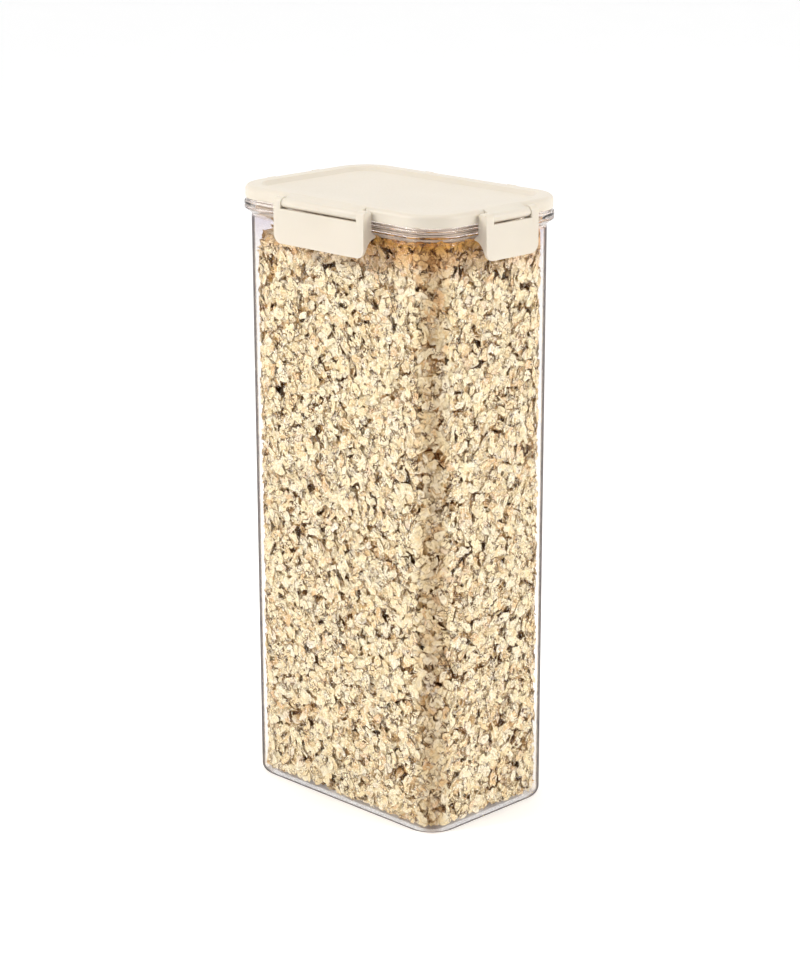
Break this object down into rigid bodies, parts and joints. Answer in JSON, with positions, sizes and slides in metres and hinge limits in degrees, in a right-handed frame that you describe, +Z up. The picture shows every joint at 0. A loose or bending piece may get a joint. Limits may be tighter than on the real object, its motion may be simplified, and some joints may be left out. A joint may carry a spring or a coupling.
{
  "type": "food canister",
  "caption": "Tall clear rectangular dry-food canister with an airtight plug lid held by hinged side latches.",
  "frame": {"origin": "on the ground under the middle of the body", "axes": "+Z up, X along the long side, Y along the short side"},
  "size_m": [0.1484, 0.1036, 0.3],
  "materials": {
    "clear_plastic": "clear, glossy",
    "cream_plastic": "satin cream",
    "silicone": "matt translucent white"
  },
  "bodies": {
    "canister": {"canister_body": "clear_plastic"},
    "lid": {"lid": "cream_plastic", "lid_seal": "silicone"},
    "latch_front": {"latch_front": "cream_plastic"},
    "latch_right": {"latch_right": "cream_plastic"},
    "latch_back": {"latch_back": "cream_plastic"},
    "latch_left": {"latch_left": "cream_plastic"}
  },
  "joints": [
    {"name": "lid_lift", "type": "slide", "parent": "canister", "child": "lid", "axis": [0, 0, 1], "range_m": [0, 0.12]},
    {"name": "latch_front_hinge", "type": "hinge", "parent": "lid", "child": "latch_front", "pos_m": [0, -0.04905, 0.29625], "axis": [-1, 0, 0], "range_deg": [0, 120]},
    {"name": "latch_right_hinge", "type": "hinge", "parent": "lid", "child": "latch_right", "pos_m": [0.0715, 0, 0.29625], "axis": [0, -1, 0], "range_deg": [0, 120]},
    {"name": "latch_back_hinge", "type": "hinge", "parent": "lid", "child": "latch_back", "pos_m": [0, 0.04905, 0.29625], "axis": [1, 0, 0], "range_deg": [0, 120]},
    {"name": "latch_left_hinge", "type": "hinge", "parent": "lid", "child": "latch_left", "pos_m": [-0.0715, 0, 0.29625], "axis": [0, 1, 0], "range_deg": [0, 120]}
  ]
}
